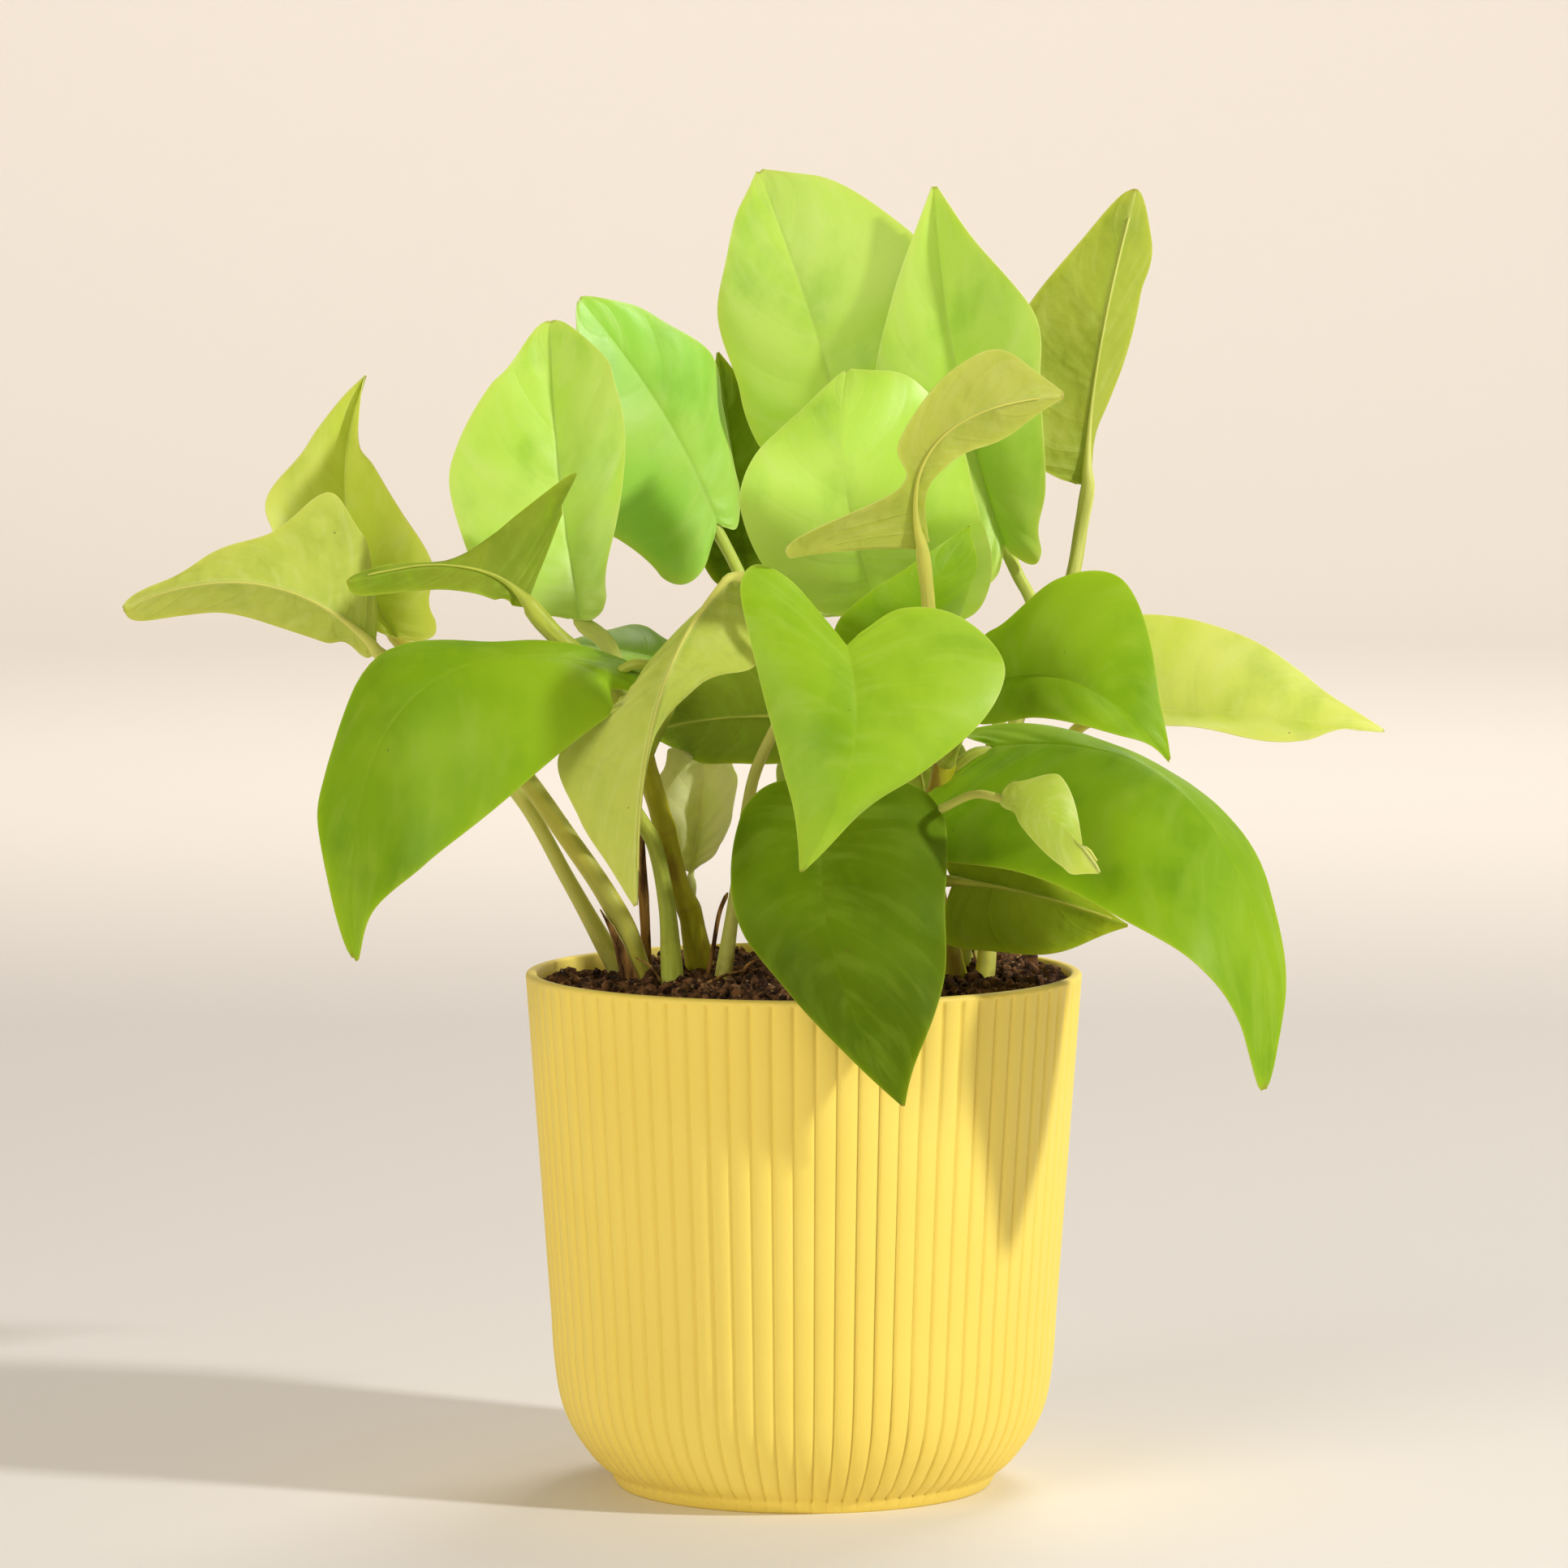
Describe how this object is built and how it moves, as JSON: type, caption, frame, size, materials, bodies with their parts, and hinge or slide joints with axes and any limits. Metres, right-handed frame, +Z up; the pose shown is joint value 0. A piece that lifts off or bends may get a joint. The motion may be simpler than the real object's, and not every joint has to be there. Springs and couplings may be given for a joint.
{
  "type": "potted golden pothos",
  "caption": "Heart-leaved pothos with lime and green leaves on long stalks, in a ribbed yellow tapered pot filled with soil.",
  "frame": {"origin": "centre of the pot's flat underside, on the surface that it stands on", "axes": "+Z up along the pot's axis, -Y towards the front, +X to the right seen from the front"},
  "size_m": [0.2485, 0.1858, 0.2601],
  "materials": {
    "pot": "satin yellow plastic",
    "soil": "matte moist potting soil",
    "light_leaf": "waxy lime leaf",
    "green_leaf": "waxy green leaf",
    "stem": "smooth green stem",
    "dry_stem": "dry brown stem"
  },
  "bodies": {
    "root": {"pot": "pot", "soil": "soil", "vine_left": "stem", "vine_middle": "stem", "vine_right": "stem", "dry_stalk": "dry_stem", "thin_root": "dry_stem", "leaf_left_low": "light_leaf", "leaf_left_tall": "light_leaf", "leaf_left_broad": "light_leaf", "leaf_left_folded": "green_leaf", "leaf_left_drooping": "green_leaf", "leaf_left_behind": "green_leaf", "leaf_centre_pale": "light_leaf", "leaf_centre_shaded": "green_leaf", "leaf_front_heart": "light_leaf", "leaf_front_low": "green_leaf", "leaf_right_near": "green_leaf", "leaf_right_lime": "light_leaf", "leaf_right_large": "green_leaf", "leaf_right_small": "light_leaf", "leaf_right_under": "green_leaf", "leaf_top_centre": "light_leaf", "leaf_top_right": "light_leaf", "leaf_centre_round": "light_leaf", "leaf_centre_turned": "light_leaf", "leaf_centre_tucked": "green_leaf", "leaf_far_right": "light_leaf", "leaf_back_left": "green_leaf", "leaf_back_dark": "green_leaf", "leaf_young": "light_leaf", "leaf_rear_high": "green_leaf", "leaf_rear_right": "green_leaf", "leaf_rear_low": "green_leaf"}
  },
  "joints": []
}
